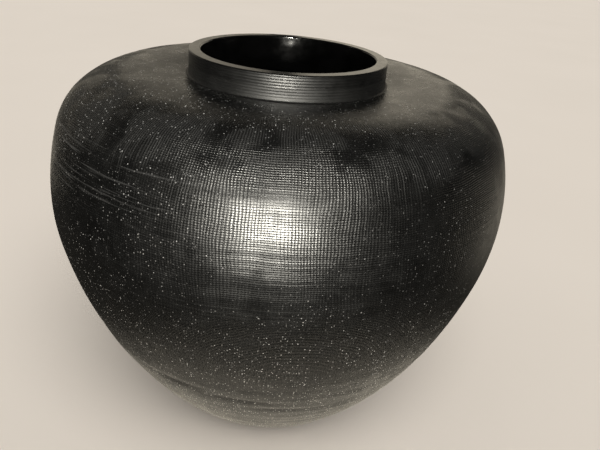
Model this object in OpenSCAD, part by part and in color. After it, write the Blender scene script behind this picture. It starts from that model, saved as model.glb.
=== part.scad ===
// Wide-shouldered clay jar with a short ringed neck.
// The wall is a chain of tangent arcs, cut by bevelled seams into the clay courses
// that a hand builder lays one on another.
// The origin is the centre of the foot, and +Z is up.

/* [Body] */
// Widest diameter of the jar
body_d = 250; // [230:5:280]
// Thickness of the wall
wall = 6.5; // [5:0.5:8]
// Thickness of the floor
floor_t = 8; // [6:0.5:12]

/* [Outline arcs] */
// Radius of the shallow crown round the neck
crown_r = 109; // [100:1:120]
// Radius of the turn from shoulder to belly
turn_r = 36; // [32:1:40]
// Radius of the belly, top to bottom
belly_r = 115; // [105:1:130]
// Radius of the long flank under the belly
flank_r = 230; // [220:1:245]
// Radius of the heel above the foot
heel_r = 72; // [64:1:80]

/* [Slopes] */
// Fall of the outline where the crown ends, in degrees below level
crown_end = 8; // [6:1:12]
// Fall where the turn ends
turn_end = 72; // [66:1:76]
// Fall where the belly ends, past the widest point
belly_end = 102; // [98:1:106]
// Fall where the flank ends
flank_end = 132; // [128:1:134]
// Fall where the heel meets the ground
heel_end = 150; // [146:1:154]

/* [Neck] */
// Inner diameter of the mouth
mouth_d = 92; // [84:1:98]
// Height of the lip's top above the crown's highest point
neck_h = 10.5; // [9.5:0.5:14]
// Radius of the hollow where the neck meets the shoulder
root_r = 1; // [0.5:0.5:2]
// Height of the lip coil, halfway through the wall
lip_h = 4; // [3.5:0.5:5]
// Radius of the flat lip's two edges
lip_edge_r = 0.8; // [0.4:0.1:1.2]
// Number of fine rings turned round the neck and the lip coil
ring_count = 8; // [4:1:8]
// Depth of each ring's groove
ring_depth = 0.15; // [0.05:0.05:0.2]

/* [Seams] */
// Slant of each seam from square across the wall
scarf = 35; // [0:5:40]

/* [Hidden] */
$fn = 180;

CLAY = [0.085, 0.083, 0.080];
LIP_CLAY = [0.15, 0.145, 0.135];

// A point on an arc is found from the fall of the outline there: the normal points
// straight up where the fall is 0, and straight out where it is 90.
function outward(fall) = [sin(fall), cos(fall)];
function along(fall) = [cos(fall), -sin(fall)];

mouth_r = mouth_d / 2;
neck_r = mouth_r + wall;

// Height of the widest point above the ground, added up from the arcs below it
belly_z = -belly_r * cos(belly_end)
          - flank_r * (cos(flank_end) - cos(belly_end))
          - heel_r * (cos(heel_end) - cos(flank_end));

// Each arc's centre lies on the line that it shares with the arc before it
belly_c = [body_d / 2 - belly_r, belly_z];
flank_c = belly_c + (belly_r - flank_r) * outward(belly_end);
heel_c = flank_c + (flank_r - heel_r) * outward(flank_end);
turn_c = belly_c + (belly_r - turn_r) * outward(turn_end);
crown_c = turn_c + (turn_r - crown_r) * outward(crown_end);

// The flank is laid in two courses of equal length
flank_mid = (belly_end + flank_end) / 2;

// How far a seam's cut runs past the outline on each side
reach_out = 16;
reach_in = 14;

// A seam's two ends, outside and inside the wall, through the outline at the given fall
function seam(centre, radius, fall) =
    let (edge = centre + radius * outward(fall),
         slant = outward(fall) + tan(scarf) * along(fall))
    [edge + reach_out * slant, edge - reach_in * slant];

shoulder_seam = seam(turn_c, turn_r, crown_end);
upper_seam = seam(belly_c, belly_r, turn_end);
belly_seam = seam(flank_c, flank_r, belly_end);
middle_seam = seam(flank_c, flank_r, flank_mid);
lower_seam = seam(heel_c, heel_r, flank_end);

crown_top = crown_c[1] + crown_r;
lip_top = crown_top + neck_h;

// The seam under the lip coil falls outward like the others, but keeps within the coil
lip_seam_z = lip_top - lip_h;
lip_seam_rise = min(wall / 2 * tan(scarf), 0.6 * lip_h);

// The root's circle touches the neck's side and the crown
root_x = neck_r + root_r;
root_c = [root_x, crown_c[1] + sqrt(pow(crown_r + root_r, 2) - pow(root_x - crown_c[0], 2))];
root_foot = crown_c + crown_r / (crown_r + root_r) * (root_c - crown_c);

// The rings fill the neck's side between the root and the lip's edge
rings_low = root_c[1];
rings_high = lip_top - lip_edge_r;
ring_pitch = (rings_high - rings_low) / ring_count;
groove_half = 0.4 * ring_pitch;
groove_r = (pow(groove_half, 2) + pow(ring_depth, 2)) / (2 * ring_depth);

// One ring of the wall: an arc of even thickness between two seams
module course(centre, radius, upper, lower) {
    color(CLAY) rotate_extrude() intersection() {
        translate(centre) difference() {
            circle(r = radius);
            circle(r = radius - wall);
        }
        polygon([upper[0], lower[0], lower[1], upper[1]]);
    }
}

module base_pad() {
    hollow_r = heel_r - wall;
    color(CLAY) rotate_extrude() difference() {
        intersection() {
            translate(heel_c) circle(r = heel_r);
            polygon([lower_seam[0], [lower_seam[0][0], 0], [0, 0], [0, lower_seam[1][1]], lower_seam[1]]);
        }
        difference() {
            translate(heel_c) circle(r = hollow_r);
            square([body_d, 2 * floor_t], center = true);
        }
    }
}

module lower_course() {
    course(flank_c, flank_r, middle_seam, lower_seam);
}

module middle_course() {
    course(flank_c, flank_r, belly_seam, middle_seam);
}

module belly_course() {
    course(belly_c, belly_r, upper_seam, belly_seam);
}

module upper_course() {
    course(turn_c, turn_r, shoulder_seam, upper_seam);
}

module shoulder_course() {
    hole_edge = [[mouth_r, lip_top], [mouth_r, crown_c[1]]];
    course(crown_c, crown_r, hole_edge, shoulder_seam);
}

// The lip coil's share of the neck's wall, above the slanted seam
module lip_zone() {
    polygon([[mouth_r, lip_seam_z + lip_seam_rise], [neck_r, lip_seam_z - lip_seam_rise],
             [neck_r, lip_top], [mouth_r, lip_top]]);
}

module ring_grooves() {
    for (i = [0 : ring_count - 1])
        translate([neck_r + groove_r - ring_depth, rings_low + (i + 0.5) * ring_pitch])
            circle(r = groove_r);
}

module neck_collar() {
    color(CLAY) rotate_extrude() difference() {
        polygon([[mouth_r, crown_c[1]], root_foot, root_c, [neck_r, root_c[1]],
                 [neck_r, lip_top], [mouth_r, lip_top]]);
        translate(crown_c) circle(r = crown_r);
        translate(root_c) circle(r = root_r);
        lip_zone();
        ring_grooves();
    }
}

// What rounding takes off one edge of the lip, on the side given as -1 for inner or 1 for outer
module edge_waste(edge_x, side) {
    corner = [edge_x - side * lip_edge_r, lip_top - lip_edge_r];
    difference() {
        translate(corner + [side * lip_edge_r, lip_edge_r]) square(2 * lip_edge_r, center = true);
        translate(corner) circle(r = lip_edge_r);
    }
}

module lip_coil() {
    color(LIP_CLAY) rotate_extrude() difference() {
        lip_zone();
        edge_waste(mouth_r, -1);
        edge_waste(neck_r, 1);
        ring_grooves();
    }
}

base_pad();
lower_course();
middle_course();
belly_course();
upper_course();
shoulder_course();
neck_collar();
lip_coil();
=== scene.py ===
"""A wide-shouldered jar of burnished black clay, on a pale floor in soft light.

Every clay course of the CAD model is replaced by a finer mesh of the same ring. All the rings take
their outer surface from one function, so they meet without a mark, as luted and smoothed clay does.
"""

import math
from collections import namedtuple

import bpy
import numpy as np
from mathutils import Matrix, Vector


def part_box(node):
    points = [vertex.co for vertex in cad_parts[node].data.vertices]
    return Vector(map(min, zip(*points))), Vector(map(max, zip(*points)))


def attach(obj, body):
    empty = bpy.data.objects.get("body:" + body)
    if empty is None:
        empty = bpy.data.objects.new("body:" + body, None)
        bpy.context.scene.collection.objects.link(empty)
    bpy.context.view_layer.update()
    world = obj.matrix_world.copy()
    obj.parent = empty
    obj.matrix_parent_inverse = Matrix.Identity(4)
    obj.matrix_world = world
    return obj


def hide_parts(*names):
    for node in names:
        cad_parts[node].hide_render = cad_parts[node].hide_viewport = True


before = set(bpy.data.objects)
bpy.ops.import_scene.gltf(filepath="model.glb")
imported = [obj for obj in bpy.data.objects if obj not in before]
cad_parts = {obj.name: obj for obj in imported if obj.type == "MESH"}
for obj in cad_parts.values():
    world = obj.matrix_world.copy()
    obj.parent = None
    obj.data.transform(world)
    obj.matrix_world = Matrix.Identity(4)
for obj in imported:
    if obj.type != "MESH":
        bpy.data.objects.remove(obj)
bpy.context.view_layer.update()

MM = 0.001
AROUND = 480                    # vertices round the jar

# ---------------------------------------------------------------- outline, as in the CAD model
BODY_R = 125.0 * MM
WALL = 6.5 * MM
FLOOR_T = 8.0 * MM
MOUTH_R = 46.0 * MM
NECK_R = MOUTH_R + WALL
LIP_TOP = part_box("lip_coil")[1].z
LIP_EDGE_R = 0.8 * MM           # rounding of the flat lip's two edges
LIP_H = 4.0 * MM                # height of the lip coil, halfway through the wall
ROOT_R = 1.0 * MM               # hollow where the neck meets the shoulder
SCARF = math.tan(math.radians(35))    # slant of the seams across the wall
SEAM_OUT = LIP_TOP - LIP_H - WALL / 2 * SCARF    # seam under the lip coil, outside and inside
SEAM_IN = LIP_TOP - LIP_H + WALL / 2 * SCARF

# The arcs of the outline, from the crown round the neck down to the foot
RADII = {"crown": 109 * MM, "turn": 36 * MM, "belly": 115 * MM, "flank": 230 * MM, "heel": 72 * MM}

# Fall of the outline where each arc ends, in degrees below level. The crown is level where it starts.
CROWN_END = 8
TURN_END = 72
BELLY_END = 102
FLANK_END = 132
HEEL_END = 150
FALLS = {
    "crown": (0, CROWN_END),
    "turn": (CROWN_END, TURN_END),
    "belly": (TURN_END, BELLY_END),
    "flank": (BELLY_END, FLANK_END),
    "heel": (FLANK_END, HEEL_END),
}
FLANK_MIDDLE = (BELLY_END + FLANK_END) / 2

# A centre (r, z), a radius, and the fall of the outline at the arc's two ends
Arc = namedtuple("Arc", "centre radius start end")


def outward(fall):
    """Unit normal (r, z) of the outline where it falls by this angle below level."""
    a = np.radians(fall)
    return np.array([np.sin(a), np.cos(a)])


def along(fall):
    """Unit vector (r, z) down the outline."""
    a = np.radians(fall)
    return np.array([np.cos(a), -np.sin(a)])


def on_arc(arc, fall):
    return arc.centre + arc.radius * outward(fall)


def arcs_of_the_outline():
    """The five tangent arcs. Neighbours have their centres on one line with the point where they meet."""
    centres = {"belly": np.array([BODY_R - RADII["belly"], 0.0])}

    def join(known, name, fall):
        centres[name] = centres[known] + (RADII[known] - RADII[name]) * outward(fall)

    join("belly", "flank", BELLY_END)
    join("flank", "heel", FLANK_END)
    join("belly", "turn", TURN_END)
    join("turn", "crown", CROWN_END)
    ground = (centres["heel"] + RADII["heel"] * outward(HEEL_END))[1]
    return {name: Arc(centres[name] - [0, ground], RADII[name], *FALLS[name]) for name in RADII}


ARCS = arcs_of_the_outline()


def length_down(arc, fall):
    """Length along an arc from its start."""
    return arc.radius * math.radians(fall - arc.start)


def distance_down(name, fall):
    """Length along the outline from the crown's top, in metres."""
    names = list(ARCS)
    above = [ARCS[key] for key in names[:names.index(name)]]
    return sum(length_down(arc, arc.end) for arc in above) + length_down(ARCS[name], fall)


# ---------------------------------------------------------------- the potter's hand in the surface
# Slow waves in the wall: crests round the jar, mm from crest to crest down it, phase in degrees and
# height in mm
WAVES = [
    (3, 210, 40, 0.13),
    (-4, 150, 150, 0.09),
    (7, 88, 110, 0.06),
    (-9, 64, 300, 0.05),
    (14, 47, 200, 0.03),
    (-19, 35, 20, 0.02),
]

# Shallow hollows left by the potter's hand: turn round the jar in degrees (0 faces the viewer,
# 90 is on the right), distance down from the crown's top, half width, half height and depth in mm
HOLLOWS = [
    (-22, 26, 12, 6, 0.40),
    (-34, 20, 9, 6, 0.30),
    (-58, 26, 10, 9, 0.40),
    (-70, 12, 12, 5, 0.30),
    (30, 34, 16, 7, 0.25),
    (62, 16, 11, 8, 0.45),
    (82, 30, 12, 10, 0.35),
    (-8, 62, 22, 9, 0.15),
    (-75, 70, 14, 12, 0.30),
    (115, 40, 18, 10, 0.35),
    (160, 60, 20, 12, 0.30),
    (-130, 30, 15, 9, 0.35),
    (-160, 90, 22, 12, 0.30),
    (80, 110, 18, 14, 0.30),
    (-40, 150, 22, 9, 0.30),
    (25, 165, 26, 8, 0.30),
    (-25, 168, 18, 3.0, 0.55),
    (-6, 172, 20, 2.6, 0.60),
    (4, 181, 22, 2.6, 0.50),
    (-48, 158, 14, 5, 0.40),
    (26, 178, 20, 3.0, 0.50),
    (-60, 185, 20, 4, 0.30),
    (55, 170, 18, 4, 0.30),
]
BAND_PITCH = 8.5 * MM           # level bands of the turning, low on the jar
BAND_HEIGHT = 0.09              # in mm

# Distances down the outline between which the bands set in, the swell sets in and the swell ends.
# The neck and the foot keep their true circles.
BANDS_START = (130 * MM, 185 * MM)
SWELL_START = (-14 * MM, 4 * MM)
SWELL_END = (228 * MM, 242 * MM)


def smooth(x, low, high):
    """0 below low, 1 above high, and a soft step between."""
    t = np.clip((x - low) / (high - low), 0.0, 1.0)
    return t * t * (3 - 2 * t)


def swell(turn, down):
    """How far the outer surface stands off the true outline, in metres. It never stands outside it."""
    total = np.zeros(np.broadcast(turn, down).shape)
    for crests, length, phase, height in WAVES:
        wave = crests * turn + 2 * math.pi * down / (length * MM) + math.radians(phase)
        total += height * (np.sin(wave) - 1)
    wander = 1.5 * np.sin(turn + 1) + 0.8 * np.sin(5 * turn)
    band = 2 * math.pi * down / BAND_PITCH + wander
    held = BAND_HEIGHT * smooth(down, *BANDS_START) * (0.6 + 0.4 * np.sin(3 * turn))
    total += held * (np.sin(band) - 1)
    for degrees, deep, half_w, half_h, depth in HOLLOWS:
        off = np.remainder(turn - math.radians(degrees) + math.pi, 2 * math.pi) - math.pi
        across = off * BODY_R / (half_w * MM)
        up = (down - deep * MM) / (half_h * MM)
        total -= depth * np.exp(-(across * across + up * up))
    off_neck = smooth(down, *SWELL_START)
    off_ground = 1 - smooth(down, *SWELL_END)
    return total * MM * off_neck * off_ground


# ---------------------------------------------------------------- rings
SKIN_STEP = 1.0 * MM            # spacing of the rows down the outer surface
LINING_STEP = 3.0 * MM          # spacing on the plain inner surface
HEEL_LINING_STEP = 2.0 * MM     # and on its tight curve over the floor
MOUTH_STEP = 0.5 * MM           # and down the mouth's wall


class Row:
    """One row of a section: a point and a normal in the (r, z) plane."""

    def __init__(self, point, normal, down=0.0, skin=0.0, inside=0.0):
        self.point = np.array(point, dtype=float)
        self.normal = np.array(normal, dtype=float)
        self.down = down          # distance down the outline, for the comb lines
        self.skin = skin          # 1 on the combed outer surface and 0 elsewhere
        self.inside = inside      # polish: 1 on the jar's inner surface, fading to 0 over the lip


def place(radius, height, turn):
    """Turn 0 is the front, towards -Y, and it grows towards +X."""
    radius, height, turn = np.broadcast_arrays(radius, height, turn)
    return np.stack([radius * np.sin(turn), -radius * np.cos(turn), height], axis=-1)


def swollen(rows):
    """Positions and normals for every row and angle, with the surface's swell worked into both."""
    step = 0.4 * MM
    turn = np.arange(AROUND) * (2 * math.pi / AROUND)
    r, z = np.array([row.point for row in rows]).T[:, :, None]
    nr, nz = np.array([row.normal for row in rows]).T[:, :, None]
    down = np.array([row.down for row in rows])[:, None]
    skin = np.array([row.skin for row in rows])[:, None]
    offset = skin * swell(turn, down)
    slope_down = (skin * swell(turn, down + step) - offset) / step
    slope_round = (skin * swell(turn + step / np.maximum(r, MM), down) - offset) / step
    points = place(r + nr * offset, z + nz * offset, turn)
    sideways = np.stack([np.cos(turn), np.sin(turn), 0 * turn], axis=-1)
    normals = place(nr - slope_down * nz, nz + slope_down * nr, turn) - slope_round[..., None] * sideways
    return points, normals / np.linalg.norm(normals, axis=-1, keepdims=True)


def ring_faces(count, closed):
    """Quads between neighbouring rows, and from the last row back to the first if it is closed."""
    i = np.arange(count if closed else count - 1)[:, None]
    j = np.arange(AROUND)[None, :]
    k, m = (i + 1) % count, (j + 1) % AROUND
    corners = [i * AROUND + j, k * AROUND + j, k * AROUND + m, i * AROUND + m]
    return np.stack([corner + 0 * j for corner in corners], axis=-1).reshape(-1, 4).tolist()


def ring_mesh(name, rows, capped):
    """Turns a section into a closed solid. A capped section starts and ends on the axis.

    The rows run down the outer surface, so that the faces point outward."""
    points, normals = swollen(rows)
    verts = points.reshape(-1, 3).tolist()
    vert_normals = normals.reshape(-1, 3).tolist()
    painted = {
        "down_mm": [row.down / MM for row in rows for _ in range(AROUND)],
        "skin": [row.skin for row in rows for _ in range(AROUND)],
        "inside": [row.inside for row in rows for _ in range(AROUND)],
    }
    faces = ring_faces(len(rows), not capped)
    if capped:
        for row, turned in ((0, False), (len(rows) - 1, True)):
            pole = len(verts)
            verts.append((0.0, 0.0, float(rows[row].point[1])))
            vert_normals.append((0.0, 0.0, float(rows[row].normal[1])))
            painted["down_mm"].append(rows[row].down / MM)
            painted["skin"].append(rows[row].skin)
            painted["inside"].append(rows[row].inside)
            for j in range(AROUND):
                a, b = row * AROUND + j, row * AROUND + (j + 1) % AROUND
                faces.append((pole, b, a) if turned else (pole, a, b))
    mesh = bpy.data.meshes.new(name)
    mesh.from_pydata(verts, [], faces)
    mesh.validate()
    mesh.polygons.foreach_set("use_smooth", [True] * len(mesh.polygons))
    for key, values in painted.items():
        layer = mesh.attributes.new(key, "FLOAT", "POINT")
        layer.data.foreach_set("value", values)
    mesh.normals_split_custom_set_from_vertices(vert_normals)
    mesh.update()
    piece = bpy.data.objects.new(name, mesh)
    bpy.context.scene.collection.objects.link(piece)
    return piece


def evenly(start, end, length, spacing):
    """Values from start to end, about one for each spacing of the length."""
    return np.linspace(start, end, max(2, round(length / spacing) + 1))


def skin_rows(name, start, end, spacing=SKIN_STEP):
    """The wall's outer surface between two falls of one arc."""
    arc = ARCS[name]
    rows = []
    for fall in evenly(start, end, arc.radius * math.radians(end - start), spacing):
        rows.append(Row(on_arc(arc, fall), outward(fall), distance_down(name, fall), skin=1.0))
    return rows


def lining_rows(name, start, end, spacing=LINING_STEP):
    """The wall's inner surface, across the slanted seams from the outer one."""
    arc = ARCS[name]
    rows = []
    for fall in evenly(start, end, arc.radius * abs(math.radians(end - start)), spacing):
        inside = on_arc(arc, fall) - WALL * (outward(fall) + SCARF * along(fall))
        rows.append(Row(inside, -outward(fall), distance_down(name, fall), inside=1.0))
    return rows


def course(node, name, start, end):
    """A ring of the wall between two seams."""
    rows = skin_rows(name, start, end) + lining_rows(name, end, start)
    return ring_mesh(node, rows, capped=False)


def base_pad():
    """The rows are made from under the foot up and in, and are then turned to run down."""
    heel = ARCS["heel"]
    foot_r, _ = on_arc(heel, heel.end)
    near_axis = 1.0 * MM
    from_edge = 0.5 * MM
    floor_corner = 1.5 * MM
    rows = []
    for r in evenly(near_axis, foot_r - from_edge, foot_r, LINING_STEP):
        rows.append(Row((r, 0.0), (0, -1)))
    rows += list(reversed(skin_rows("heel", heel.start, heel.end)))
    lining = lining_rows("heel", heel.start, heel.end, HEEL_LINING_STEP)
    rows += [row for row in lining if row.point[1] > FLOOR_T + from_edge]
    floor_r = rows[-1].point[0]
    for r in evenly(floor_r - floor_corner, near_axis, floor_r, LINING_STEP):
        rows.append(Row((r, FLOOR_T), (0, 1), inside=1.0))
    return ring_mesh("base_pad", list(reversed(rows)), capped=True)


def height_on(arc, inset, r):
    """Height of the circle that lies this far inside the arc, at radius r."""
    return arc.centre[1] + math.sqrt((arc.radius - inset) ** 2 - (r - arc.centre[0]) ** 2)


def shoulder_course():
    """The lining stops short of the mouth, and the under edge is broken by a small bevel."""
    crown = ARCS["crown"]
    hole_fall = math.degrees(math.asin((MOUTH_R - crown.centre[0]) / crown.radius))
    skin = skin_rows("crown", hole_fall, crown.end)
    short_of_mouth = 2.6    # degrees
    lining = lining_rows("crown", crown.end, hole_fall + short_of_mouth)
    under = height_on(crown, WALL, MOUTH_R) + 0.2 * MM
    bevel = 1.2 * MM
    edge = [
        Row((MOUTH_R + bevel, under), (0, -1), inside=1.0),
        Row((MOUTH_R, under + bevel), (-1, 0), inside=1.0),
        Row((MOUTH_R, skin[0].point[1] - 0.05 * MM), (-1, 0), inside=1.0),
    ]
    return ring_mesh("shoulder_course", skin + lining + edge, capped=False)


# ---------------------------------------------------------------- neck and lip
RING_COUNT = 8                  # fine rings turned round the neck and the lip coil
RING_DEPTH = 0.075 * MM
ROWS_A_RING = 10
CORNER_ROWS = 8                 # rows round each edge of the lip
ROOT_ROWS = 9                   # rows round the hollow at the neck's root
FOOT_FLARE = 0.25 * MM          # how far the neck's foot spreads, over its lowest 3 mm
FOOT_H = 3.0 * MM
MOUTH_FLARE = 0.25 * MM         # how far the mouth opens, in a soft step under the lip's edge
MOUTH_H = 5.4 * MM
EDGE_Z = LIP_TOP - LIP_EDGE_R
LIP_POLISH = 0.8                # polish of the flat top of the lip


def root_hollow():
    """Centre of the hollow's circle, which touches the neck's side and the crown."""
    r = NECK_R + FOOT_FLARE + ROOT_R
    return np.array([r, height_on(ARCS["crown"], -ROOT_R, r)])


ROOT = root_hollow()
RINGS_LOW = ROOT[1]
RING_PITCH = (EDGE_Z - RINGS_LOW) / RING_COUNT


def corner_rows(centre, radius, start, end, count, hollow=False, polish=(0.0, 0.0)):
    """Rows round a corner of the section, between two angles in degrees above level outward.

    The polish changes evenly from the first row to the last."""
    rows = []
    for angle, inside in zip(np.radians(np.linspace(start, end, count)), np.linspace(*polish, count)):
        normal = np.array([math.cos(angle), math.sin(angle)])
        point = centre - radius * normal if hollow else centre + radius * normal
        rows.append(Row(point, normal, inside=inside))
    return rows


def ringed_side(low, high):
    """Rows up the neck's outer side, with the fine rings turned in it."""
    rows = []
    for z in evenly(low, high, high - low, RING_PITCH / ROWS_A_RING):
        wave = 2 * math.pi * (z - RINGS_LOW) / RING_PITCH
        dent = RING_DEPTH * (1 - math.cos(wave)) / 2
        lean = RING_DEPTH * math.pi / RING_PITCH * math.sin(wave)
        near_foot = max(0.0, 1 - (z - RINGS_LOW) / FOOT_H)
        spread = FOOT_FLARE * near_foot ** 2
        lean += 2 * FOOT_FLARE * near_foot / FOOT_H
        rows.append(Row((NECK_R - dent + spread, z), (1, lean)))
    return rows


def inner_side(low, high):
    """Rows down the mouth's wall, which opens a little at its top."""
    rows = []
    for z in evenly(high, low, high - low, MOUTH_STEP):
        near_top = max(0.0, 1 - (EDGE_Z - z) / MOUTH_H)
        opening = MOUTH_FLARE * near_top * near_top * (3 - 2 * near_top)
        lean = MOUTH_FLARE * 6 * near_top * (1 - near_top) / MOUTH_H
        rows.append(Row((MOUTH_R + opening, z), (-1, lean), inside=1.0))
    return rows


def neck_collar():
    crown = ARCS["crown"]
    to_crown = (crown.centre - ROOT) / np.linalg.norm(crown.centre - ROOT)
    foot_angle = math.degrees(math.atan2(-to_crown[1], -to_crown[0]))
    rows = corner_rows(ROOT, ROOT_R, foot_angle, 0, ROOT_ROWS, hollow=True)
    rows += ringed_side(RINGS_LOW, SEAM_OUT)[1:]
    rows += inner_side(height_on(crown, 0.0, MOUTH_R), SEAM_IN)
    return ring_mesh("neck_collar", list(reversed(rows)), capped=False)


def lip_coil():
    inner_edge = np.array([MOUTH_R + MOUTH_FLARE + LIP_EDGE_R, EDGE_Z])
    outer_edge = np.array([NECK_R - LIP_EDGE_R, EDGE_Z])
    rows = list(reversed(inner_side(SEAM_IN, EDGE_Z)))[:-1]
    rows += corner_rows(inner_edge, LIP_EDGE_R, 180, 90, CORNER_ROWS, polish=(1.0, LIP_POLISH))
    rows += corner_rows(outer_edge, LIP_EDGE_R, 90, 0, CORNER_ROWS, polish=(LIP_POLISH, 0.0))
    rows += list(reversed(ringed_side(SEAM_OUT, EDGE_Z)))[1:]
    return ring_mesh("lip_coil", rows, capped=False)


PIECES = {
    "base_pad": base_pad(),
    "lower_course": course("lower_course", "flank", FLANK_MIDDLE, FLANK_END),
    "middle_course": course("middle_course", "flank", BELLY_END, FLANK_MIDDLE),
    "belly_course": course("belly_course", "belly", TURN_END, BELLY_END),
    "upper_course": course("upper_course", "turn", CROWN_END, TURN_END),
    "shoulder_course": shoulder_course(),
    "neck_collar": neck_collar(),
    "lip_coil": lip_coil(),
}


# ---------------------------------------------------------------- materials
class Nodes:
    """Short calls for building a node tree."""

    def __init__(self, name):
        self.material = bpy.data.materials.new(name)
        self.material.use_nodes = True
        self.tree = self.material.node_tree
        self.tree.nodes.clear()
        self.shader = self.tree.nodes.new("ShaderNodeBsdfPrincipled")
        output = self.tree.nodes.new("ShaderNodeOutputMaterial")
        self.tree.links.new(self.shader.outputs["BSDF"], output.inputs["Surface"])

    def put(self, socket, value):
        if isinstance(value, bpy.types.NodeSocket):
            self.tree.links.new(value, socket)
        elif value is not None:
            socket.default_value = value

    def math(self, operation, a, b=None, c=None):
        node = self.tree.nodes.new("ShaderNodeMath")
        node.operation = operation
        for socket, value in zip(node.inputs, (a, b, c)):
            self.put(socket, value)
        return node.outputs[0]

    def place(self):
        return self.tree.nodes.new("ShaderNodeTexCoord").outputs["Object"]

    def attribute(self, name):
        node = self.tree.nodes.new("ShaderNodeAttribute")
        node.attribute_name = name
        return node.outputs["Fac"]

    def split(self, vector):
        node = self.tree.nodes.new("ShaderNodeSeparateXYZ")
        self.put(node.inputs[0], vector)
        return node.outputs

    def noise(self, vector, per_mm, detail=2.0, roughness=0.5):
        """Noise with features of about 1 / per_mm millimetres, from 0 to 1."""
        node = self.tree.nodes.new("ShaderNodeTexNoise")
        self.put(node.inputs["Vector"], vector)
        node.inputs["Scale"].default_value = per_mm / MM
        node.inputs["Detail"].default_value = detail
        node.inputs["Roughness"].default_value = roughness
        return node.outputs["Fac"]

    def moved(self, vector, shift):
        node = self.tree.nodes.new("ShaderNodeVectorMath")
        node.operation = "ADD"
        self.put(node.inputs[0], vector)
        node.inputs[1].default_value = shift
        return node.outputs[0]

    def joined(self, x, y, z):
        node = self.tree.nodes.new("ShaderNodeCombineXYZ")
        for socket, value in zip(node.inputs, (x, y, z)):
            self.put(socket, value)
        return node.outputs[0]

    def times(self, first, *others):
        """The product of all the values."""
        for other in others:
            first = self.math("MULTIPLY", first, other)
        return first

    def ramp(self, value, low, high, out_low=0.0, out_high=1.0):
        """A soft step from out_low to out_high while the value goes from low to high."""
        node = self.tree.nodes.new("ShaderNodeMapRange")
        node.interpolation_type = "SMOOTHSTEP"
        self.put(node.inputs["Value"], value)
        limits = {"From Min": low, "From Max": high, "To Min": out_low, "To Max": out_high}
        for key, number in limits.items():
            self.put(node.inputs[key], number)
        return node.outputs["Result"]

    def mix(self, factor, a, b):
        node = self.tree.nodes.new("ShaderNodeMix")
        node.data_type = "RGBA"
        self.put(node.inputs[0], factor)
        self.put(node.inputs[6], a)
        self.put(node.inputs[7], b)
        return node.outputs[2]

    def cells(self, vector, per_mm):
        """Distance to the nearest of many scattered points, in cells, and a random number for each."""
        node = self.tree.nodes.new("ShaderNodeTexVoronoi")
        self.put(node.inputs["Vector"], vector)
        node.inputs["Scale"].default_value = per_mm / MM
        return node.outputs["Distance"], self.split(node.outputs["Color"])[0]

    def bump(self, height_in_mm):
        node = self.tree.nodes.new("ShaderNodeBump")
        node.inputs["Strength"].default_value = 1.0
        node.inputs["Distance"].default_value = MM
        self.put(node.inputs["Height"], height_in_mm)
        self.put(self.shader.inputs["Normal"], node.outputs["Normal"])


LINES_ROUND = 560               # upright comb lines round the jar
LEVEL_PITCH = 1.02              # level comb lines, in mm
UPRIGHT_DEPTH = 0.069           # in mm
LEVEL_DEPTH = 0.130             # in mm
LEDGE_DROP = 0.35               # share of a level groove taken by its short steep side
CLAY_IOR = 1.5

# What each kind of place adds to the roughness of a burnished ridge, or takes from it
GROOVE_ROUGHER = 0.10
COMBED_ROUGHER = 0.06
NECK_ROUGHER = 0.24
INSIDE_SMOOTHER = 0.16
POLISH_SMOOTHER = 0.31          # on the lip

BLACK = (0.0012, 0.0012, 0.0011, 1)
SOOT = (0.0032, 0.0031, 0.0029, 1)
# Pale colour of dust in the grooves, also used for painted sheen in the level strokes
DUST_AND_SHEEN = (0.05, 0.049, 0.046, 1)
# Pale colour of grit in the clay, also used for painted glints of its granular sparkle
GRIT_AND_GLINT = (0.75, 0.73, 0.68, 1)

# In the clay materials, down is in mm from the crown's top, and x and y are in metres, so a ramp of x
# goes from the jar's left to its right. Shifts keep one noise from repeating another.


def comb(n, lines):
    """Depth of rounded grooves, from 0 on a ridge to 1, one groove for each whole number."""
    wave = n.math("COSINE", n.math("MULTIPLY", lines, 2 * math.pi))
    return n.math("MULTIPLY_ADD", wave, -0.5, 0.5)


def ledges(n, lines):
    """Depth of leaning grooves: a short drop and then a long rise, one for each whole number."""
    part = n.math("FRACT", lines)
    drop = n.ramp(part, 0.0, LEDGE_DROP)
    rise = n.math("DIVIDE", n.math("SUBTRACT", 1.0, part), 1.0 - LEDGE_DROP)
    return n.math("MINIMUM", drop, rise)


def drift(n, spot, per_mm, lines):
    """Lets the comb lines wander by this many lines."""
    return n.math("MULTIPLY", n.math("SUBTRACT", n.noise(spot, per_mm), 0.5), lines)


def clay_colour(n, spot, dust_and_sheen, grit_and_glints):
    cloudy = n.noise(n.moved(spot, (4, 4, 4)), 0.05, 4, 0.6)
    clay = n.mix(n.ramp(cloudy, 0.35, 0.65), BLACK, SOOT)
    # Pale dust in the grooves, and painted sheen where the level strokes lie
    combed = n.mix(dust_and_sheen, clay, DUST_AND_SHEEN)
    # Pale spots: partly grit, partly painted glints
    n.put(n.shader.inputs["Base Color"], n.mix(grit_and_glints, combed, GRIT_AND_GLINT))


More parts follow.
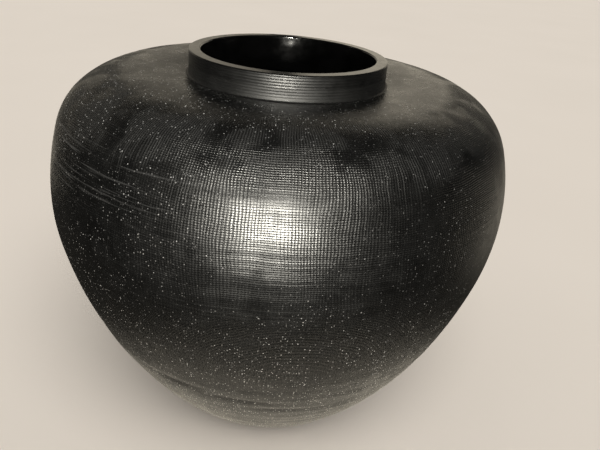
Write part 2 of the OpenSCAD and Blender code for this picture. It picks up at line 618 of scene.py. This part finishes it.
def comb_strokes(n, spot, down):
    """Upright and level grooves, each pressed in strokes that come and go, and how combed each place is.

    Names that end in u are for the upright lines, and in v for the level ones."""
    x, y, z = n.split(spot)
    upright = n.math("MULTIPLY_ADD", n.math("ARCTAN2", y, x), LINES_ROUND / (2 * math.pi),
                     drift(n, spot, 0.03, 5.0))
    level = n.math("MULTIPLY_ADD", down, 1 / LEVEL_PITCH, drift(n, n.moved(spot, (3, 1, 7)), 0.02, 6.0))

    # Each line has a pressure of its own, which changes slowly along it
    far_apart = 0.3
    line_u = n.math("MULTIPLY", n.math("FLOOR", upright), far_apart)
    line_v = n.math("MULTIPLY", n.math("FLOOR", level), far_apart)
    press_u = n.ramp(n.noise(n.joined(line_u, z, 0.0), 0.03), 0.3, 0.7, 0.45, 1.1)
    press_v = n.ramp(n.noise(n.joined(x, y, line_v), 0.02), 0.3, 0.7, 0.6, 1.15)

    # Patches where one set of lines or the other is faint
    faintest_u = n.ramp(down, 36, 56, 0.30, 0.65)
    faintest_v = n.math("ADD", faintest_u, 0.08)
    patch_u = n.ramp(n.noise(n.moved(spot, (5, 2, 1)), 0.05, 2), 0.38, 0.54, faintest_u, 1.0)
    patch_v = n.ramp(n.noise(n.moved(spot, (1, 8, 4)), 0.05, 2), 0.36, 0.50, faintest_v, 1.0)

    # How far up and down the wall each set reaches. The upright one is strongest at its top.
    reach_u = n.times(n.ramp(down, 8, 18), n.ramp(down, 120, 180, 1.0, 1.3), n.ramp(down, 34, 56, 2.4, 1.0))
    reach_v = n.times(n.ramp(down, 18, 32), n.ramp(down, 120, 180, 1.0, 1.2))

    skin = n.attribute("skin")
    groove_u = n.times(press_u, patch_u, comb(n, upright), reach_u, skin)
    groove_v = n.times(press_v, patch_v, ledges(n, level), reach_v, skin)
    combed = n.times(n.math("MAXIMUM", n.times(reach_u, patch_u), n.times(reach_v, patch_v)), skin)
    return groove_u, groove_v, combed


def clay_grain(n, spot, down):
    """Height of the clay's own grain, in mm: fine on the shoulder and coarse low on the wall."""
    skin = n.attribute("skin")
    unpolished = n.math("SUBTRACT", 1.0, n.attribute("inside"))
    rough_top = n.times(n.math("MULTIPLY_ADD", n.ramp(down, 14, 32, 0.13, 0.035), skin, 0.006), unpolished)
    rough_low = n.times(n.ramp(down, 100, 170, 0.0, 0.12), skin)
    fine = n.math("MULTIPLY", n.noise(spot, 2.2, 2, 0.6), rough_top)
    return n.math("MULTIPLY_ADD", n.noise(n.moved(spot, (8, 3, 5)), 0.8, 2, 0.6), rough_low, fine)


def grit_and_glint_spots(n, spot, per_mm, size, rarity):
    """Pale spots from 0 to 1, partly mineral grains and partly painted glints. Most are faint, and the
    higher the rarity the fewer are bright.
    """
    distance, luck = n.cells(spot, per_mm)
    grain = n.ramp(distance, size * 0.6, size * 1.2, 1.0, 0.0)
    shine = n.math("MULTIPLY_ADD", n.math("POWER", luck, rarity), 0.97, 0.03)
    return n.math("MULTIPLY", grain, shine)


def grit_and_glints_on_skin(n, spot, down):
    """Pale spots, partly grit and partly painted glints, that lie thick near the neck, low on the wall and
    in clouds between, with few on the right.
    """
    x = n.split(spot)[0]
    clouds = n.ramp(n.noise(n.moved(spot, (2, 2, 9)), 0.03, 4, 0.65), 0.35, 0.65, 0.3, 1.5)
    near_neck = n.ramp(down, 10, 36, 2.0, 0.0)
    low_down = n.ramp(down, 90, 190, 0.8, 5.0)
    right_share = n.ramp(down, 85, 140, 0.40, 1.0)
    one_side = n.ramp(x, -0.09, 0.10, 1.2, right_share)
    amount = n.times(n.math("MAXIMUM", clouds, near_neck), n.times(low_down, one_side))
    fine = n.times(grit_and_glint_spots(n, spot, 0.9, 0.24, 7.0), amount)
    kept = n.times(n.ramp(x, -0.02, 0.10, 1.0, right_share), n.ramp(down, 60, 130, 0.40, 1.0))
    coarse = n.times(grit_and_glint_spots(n, n.moved(spot, (0.4, 0.1, 0.2)), 0.40, 0.14, 8.0), kept)
    return n.times(n.math("MAXIMUM", fine, coarse), n.attribute("skin"))


def level_sheen_strokes(n, spot, down):
    """A few long thin pale strokes round the belly, on the left: painted sheen along the level comb lines.
    """
    x, y, z = n.split(spot)
    drawn_out = 0.03
    stretched = n.joined(n.math("MULTIPLY", x, drawn_out), n.math("MULTIPLY", y, drawn_out), z)
    thin = n.ramp(n.noise(stretched, 0.9, 2), 0.56, 0.66)
    where = n.times(n.ramp(x, -0.05, -0.01, 1.0, 0.0), n.ramp(down, 42, 52), n.ramp(down, 64, 78, 1.0, 0.0))
    return n.times(thin, n.times(where, n.attribute("skin")))


def dust_in_grooves(n, spot, groove_u, groove_v):
    """Pale dust in the deepest grooves, thinner on the right."""
    x = n.split(spot)[0]
    dusty_u = n.ramp(groove_u, 0.85, 1.35, 0.0, 0.35)
    dusty_v = n.ramp(groove_v, 0.85, 1.25, 0.0, 0.50)
    return n.times(n.math("MAXIMUM", dusty_u, dusty_v), n.ramp(x, -0.09, 0.10, 1.0, 0.35))


def hatched_clay():
    """Burnished ridges between rough grooves, combed upright and then level, in strokes."""
    n = Nodes("hatched_clay")
    spot = n.place()
    down = n.attribute("down_mm")
    groove_u, groove_v, combed = comb_strokes(n, spot, down)
    height = n.math("MULTIPLY_ADD", groove_u, -UPRIGHT_DEPTH, clay_grain(n, spot, down))
    n.bump(n.math("MULTIPLY_ADD", groove_v, -LEVEL_DEPTH, height))

    # Real dust in the deepest grooves, and painted sheen along the level strokes on the left
    dust_and_sheen = n.math("MAXIMUM", dust_in_grooves(n, spot, groove_u, groove_v), level_sheen_strokes(n, spot, down))
    # The pale spots are partly grit in the clay and partly painted glints
    clay_colour(n, spot, dust_and_sheen, grit_and_glints_on_skin(n, spot, down))

    # The grooves and the neck are rougher than the burnished ridges, and the inner surface is smoother
    smear = n.noise(n.moved(spot, (6, 1, 3)), 0.12, 3, 0.6)
    ridges = n.ramp(smear, 0.3, 0.7, 0.26, 0.34)
    rough = n.math("MULTIPLY_ADD", n.math("MAXIMUM", groove_u, groove_v), GROOVE_ROUGHER, ridges)
    rough = n.math("MULTIPLY_ADD", combed, COMBED_ROUGHER, rough)
    inside = n.attribute("inside")
    on_neck = n.math("SUBTRACT", 1.0, n.math("MAXIMUM", n.attribute("skin"), inside))
    rough = n.math("MULTIPLY_ADD", on_neck, NECK_ROUGHER, rough)
    n.put(n.shader.inputs["Roughness"], n.math("MULTIPLY_ADD", inside, -INSIDE_SMOOTHER, rough))
    n.shader.inputs["IOR"].default_value = CLAY_IOR
    return n.material


def polished_clay():
    """The lip: plain clay, burnished on its flat top and down its inner side."""
    n = Nodes("polished_clay")
    spot = n.place()
    n.bump(n.math("MULTIPLY", n.noise(spot, 0.8, 3, 0.6), 0.02))
    clay_colour(n, spot, 0.0, 0.0)
    smear = n.noise(n.moved(spot, (6, 1, 3)), 0.2, 3, 0.6)
    rough = n.ramp(smear, 0.3, 0.7, 0.42, 0.50)
    rough = n.math("MULTIPLY_ADD", n.attribute("inside"), -POLISH_SMOOTHER, rough)
    n.put(n.shader.inputs["Roughness"], rough)
    n.shader.inputs["IOR"].default_value = CLAY_IOR
    return n.material


HATCHED = hatched_clay()
POLISHED = polished_clay()
for node, piece in PIECES.items():
    polished = node == "lip_coil"
    piece.data.materials.append(POLISHED if polished else HATCHED)
    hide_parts(node)
    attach(piece, "root")


# ---------------------------------------------------------------- floor and reflectors
CLOTH = (0.76, 0.685, 0.60, 1)
PALE_CLOTH = (0.80, 0.72, 0.635, 1)
WARM_GLOW = (1.3, 1.17, 0.936, 1)    # light of strength 1 from a reflector

# The floor lies just under the jar. Gloss doesn't see it, but sees the reflectors that lie under it.
# right_floor lies over the other two.
FLOOR_Z = -0.0003
RIGHT_FLOOR_Z = -0.00035
GLOW_Z = -0.0004

# Name, middle, half width, half height or depth, and the glow's stops: distance from the middle, strength
FLAT_REFLECTORS = [
    ("floor_glow", (0.012, 0, GLOW_Z), 0.50, 0.28,
     [(0.0, 1.0), (0.105, 1.0), (0.14, 0.22), (0.17, 0.03), (0.50, 0.03)]),
    ("back_floor", (0.04, 0.60, GLOW_Z), 0.70, 0.31, [(0.0, 0.7), (1.0, 0.7)]),
    ("right_floor", (0.78, 0.32, RIGHT_FLOOR_Z), 0.50, 0.35, [(0.0, 0.55), (0.35, 0.55), (0.55, 0.15)]),
]
STANDING_REFLECTORS = [
    ("right_card", (0.39, 0.9, 0.36), 0.37, 0.36, [(0.3, 0.70), (0.5, 0.42)]),
    ("left_card", (-0.44, 0.9, 0.30), 0.40, 0.30, [(0.25, 0.49), (0.5, 0.24)]),
    ("far_left_card", (-1.25, 0.95, 0.45), 0.40, 0.40, [(0.10, 0.65), (0.40, 0.10)]),
]


def floor_cloth():
    n = Nodes("floor")
    tone = n.noise(n.place(), 0.004, 3)
    n.put(n.shader.inputs["Base Color"], n.mix(tone, CLOTH, PALE_CLOTH))
    n.shader.inputs["Roughness"].default_value = 1.0
    n.shader.inputs["Specular IOR Level"].default_value = 0.0
    return n.material


def glow(name, stops):
    """A pale light whose strength changes with the distance from the middle of its sheet.

    The stops are pairs of a distance in metres and a strength."""
    material = bpy.data.materials.new(name)
    material.use_nodes = True
    tree = material.node_tree
    tree.nodes.clear()
    place = tree.nodes.new("ShaderNodeTexCoord").outputs["Object"]
    distance = tree.nodes.new("ShaderNodeVectorMath")
    distance.operation = "LENGTH"
    tree.links.new(place, distance.inputs[0])
    ramp = tree.nodes.new("ShaderNodeValToRGB")
    tree.links.new(distance.outputs["Value"], ramp.inputs["Fac"])
    while len(ramp.color_ramp.elements) < len(stops):
        ramp.color_ramp.elements.new(0.5)
    for element, (metres, strength) in zip(ramp.color_ramp.elements, stops):
        element.position = metres
        element.color = (strength, strength, strength, 1)
    emission = tree.nodes.new("ShaderNodeEmission")
    emission.inputs["Color"].default_value = WARM_GLOW
    tree.links.new(ramp.outputs["Color"], emission.inputs["Strength"])
    output = tree.nodes.new("ShaderNodeOutputMaterial")
    tree.links.new(emission.outputs[0], output.inputs["Surface"])
    return material


def sheet(name, centre, half_width, half_height, upright):
    """A flat rectangle, lying on the floor or standing across the Y axis."""
    corners = []
    for across, up in ((-1, -1), (1, -1), (1, 1), (-1, 1)):
        x, h = across * half_width, up * half_height
        corners.append((x, 0, h) if upright else (x, h, 0))
    mesh = bpy.data.meshes.new(name)
    mesh.from_pydata(corners, [], [(0, 1, 2, 3)])
    flat = bpy.data.objects.new(name, mesh)
    flat.location = centre
    bpy.context.scene.collection.objects.link(flat)
    return flat


def floor():
    ground = sheet("floor", (0, 0, FLOOR_Z), 8.0, 8.0, upright=False)
    ground.data.materials.append(floor_cloth())
    ground.visible_glossy = False


def reflector(name, centre, half_width, half_height, stops, upright):
    """A glowing sheet that only the jar's gloss sees."""
    flat = sheet(name, centre, half_width, half_height, upright)
    flat.data.materials.append(glow(name, stops))
    flat.visible_camera = False
    flat.visible_diffuse = False
    flat.visible_shadow = False


floor()
for entry in FLAT_REFLECTORS:
    reflector(*entry, upright=False)
for entry in STANDING_REFLECTORS:
    reflector(*entry, upright=True)


# ---------------------------------------------------------------- light and camera
def add_flash(at, toward, side, watts, colour):
    """A small square light that only makes gloss."""
    data = bpy.data.lights.new("flash", "AREA")
    data.shape = "RECTANGLE"
    data.size, data.size_y = side, side
    data.energy = watts
    data.color = colour
    light = bpy.data.objects.new("flash", data)
    light.location = at
    light.rotation_euler = (Vector(toward) - Vector(at)).to_track_quat("-Z", "Y").to_euler()
    light.visible_camera = False
    light.visible_diffuse = False
    bpy.context.scene.collection.objects.link(light)


def add_sky(source, spread, strength):
    """Wide soft light, spread over this many degrees, that lights the cloth and makes no gloss."""
    data = bpy.data.lights.new("sky", "SUN")
    data.angle = math.radians(spread)
    data.energy = strength
    sky = bpy.data.objects.new("sky", data)
    sky.rotation_euler = (-Vector(source)).to_track_quat("-Z", "Y").to_euler()
    sky.visible_glossy = False
    bpy.context.scene.collection.objects.link(sky)


def surroundings(base, seen_by):
    """A world with a base colour, and a colour of its own for each kind of ray that is named."""
    world = bpy.data.worlds.new("world")
    world.use_nodes = True
    tree = world.node_tree
    tree.nodes.clear()
    path = tree.nodes.new("ShaderNodeLightPath")

    def background(colour):
        node = tree.nodes.new("ShaderNodeBackground")
        node.inputs["Color"].default_value = colour
        return node.outputs[0]

    shown = background(base)
    for ray, colour in seen_by.items():
        mix = tree.nodes.new("ShaderNodeMixShader")
        tree.links.new(path.outputs[ray], mix.inputs[0])
        tree.links.new(shown, mix.inputs[1])
        tree.links.new(background(colour), mix.inputs[2])
        shown = mix.outputs[0]
    output = tree.nodes.new("ShaderNodeOutputWorld")
    tree.links.new(shown, output.inputs["Surface"])
    bpy.context.scene.world = world


CAMERA_AT = Vector((0.0, -0.318, 0.2775))
CAMERA_PITCH = 27.31            # degrees below level
CAMERA_YAW = 2.5                # degrees to the right
CAMERA_ROLL = 5.07              # degrees anticlockwise
FOCAL = 35.15                   # in mm, for this width of the picture
PICTURE_WIDTH = 36.0            # in mm

lens = bpy.data.cameras.new("camera")
lens.sensor_width = PICTURE_WIDTH
lens.lens = FOCAL
lens.clip_start = 0.01
camera = bpy.data.objects.new("camera", lens)
turned = (Matrix.Rotation(math.radians(-CAMERA_YAW), 4, "Z")
          @ Matrix.Rotation(math.radians(90 - CAMERA_PITCH), 4, "X")
          @ Matrix.Rotation(math.radians(CAMERA_ROLL), 4, "Z"))
camera.matrix_world = Matrix.Translation(CAMERA_AT) @ turned
bpy.context.scene.collection.objects.link(camera)
bpy.context.scene.camera = camera

JAR_MIDDLE = (0, 0, 0.15)
FLASH_AT = CAMERA_AT + Vector((-0.012, 0.0, -0.028))
FLASH_SIDE = 0.024
FLASH_WATTS = 2.4
FLASH_COLOUR = (1.0, 0.965, 0.86)
SKY_SOURCE = (0.2, -1.0, 1.3)
SKY_SPREAD = 50
SKY_STRENGTH = 2.35
DIM_ROOM = (0.030, 0.029, 0.027, 1)
SOFT_LIGHT = (0.34, 0.34, 0.33, 1)
BACKDROP = (0.72, 0.64, 0.55, 1)

add_flash(FLASH_AT, JAR_MIDDLE, FLASH_SIDE, FLASH_WATTS, FLASH_COLOUR)
add_sky(SKY_SOURCE, SKY_SPREAD, SKY_STRENGTH)
surroundings(DIM_ROOM, {"Is Diffuse Ray": SOFT_LIGHT, "Is Camera Ray": BACKDROP})
bpy.context.scene.view_settings.view_transform = "Standard"
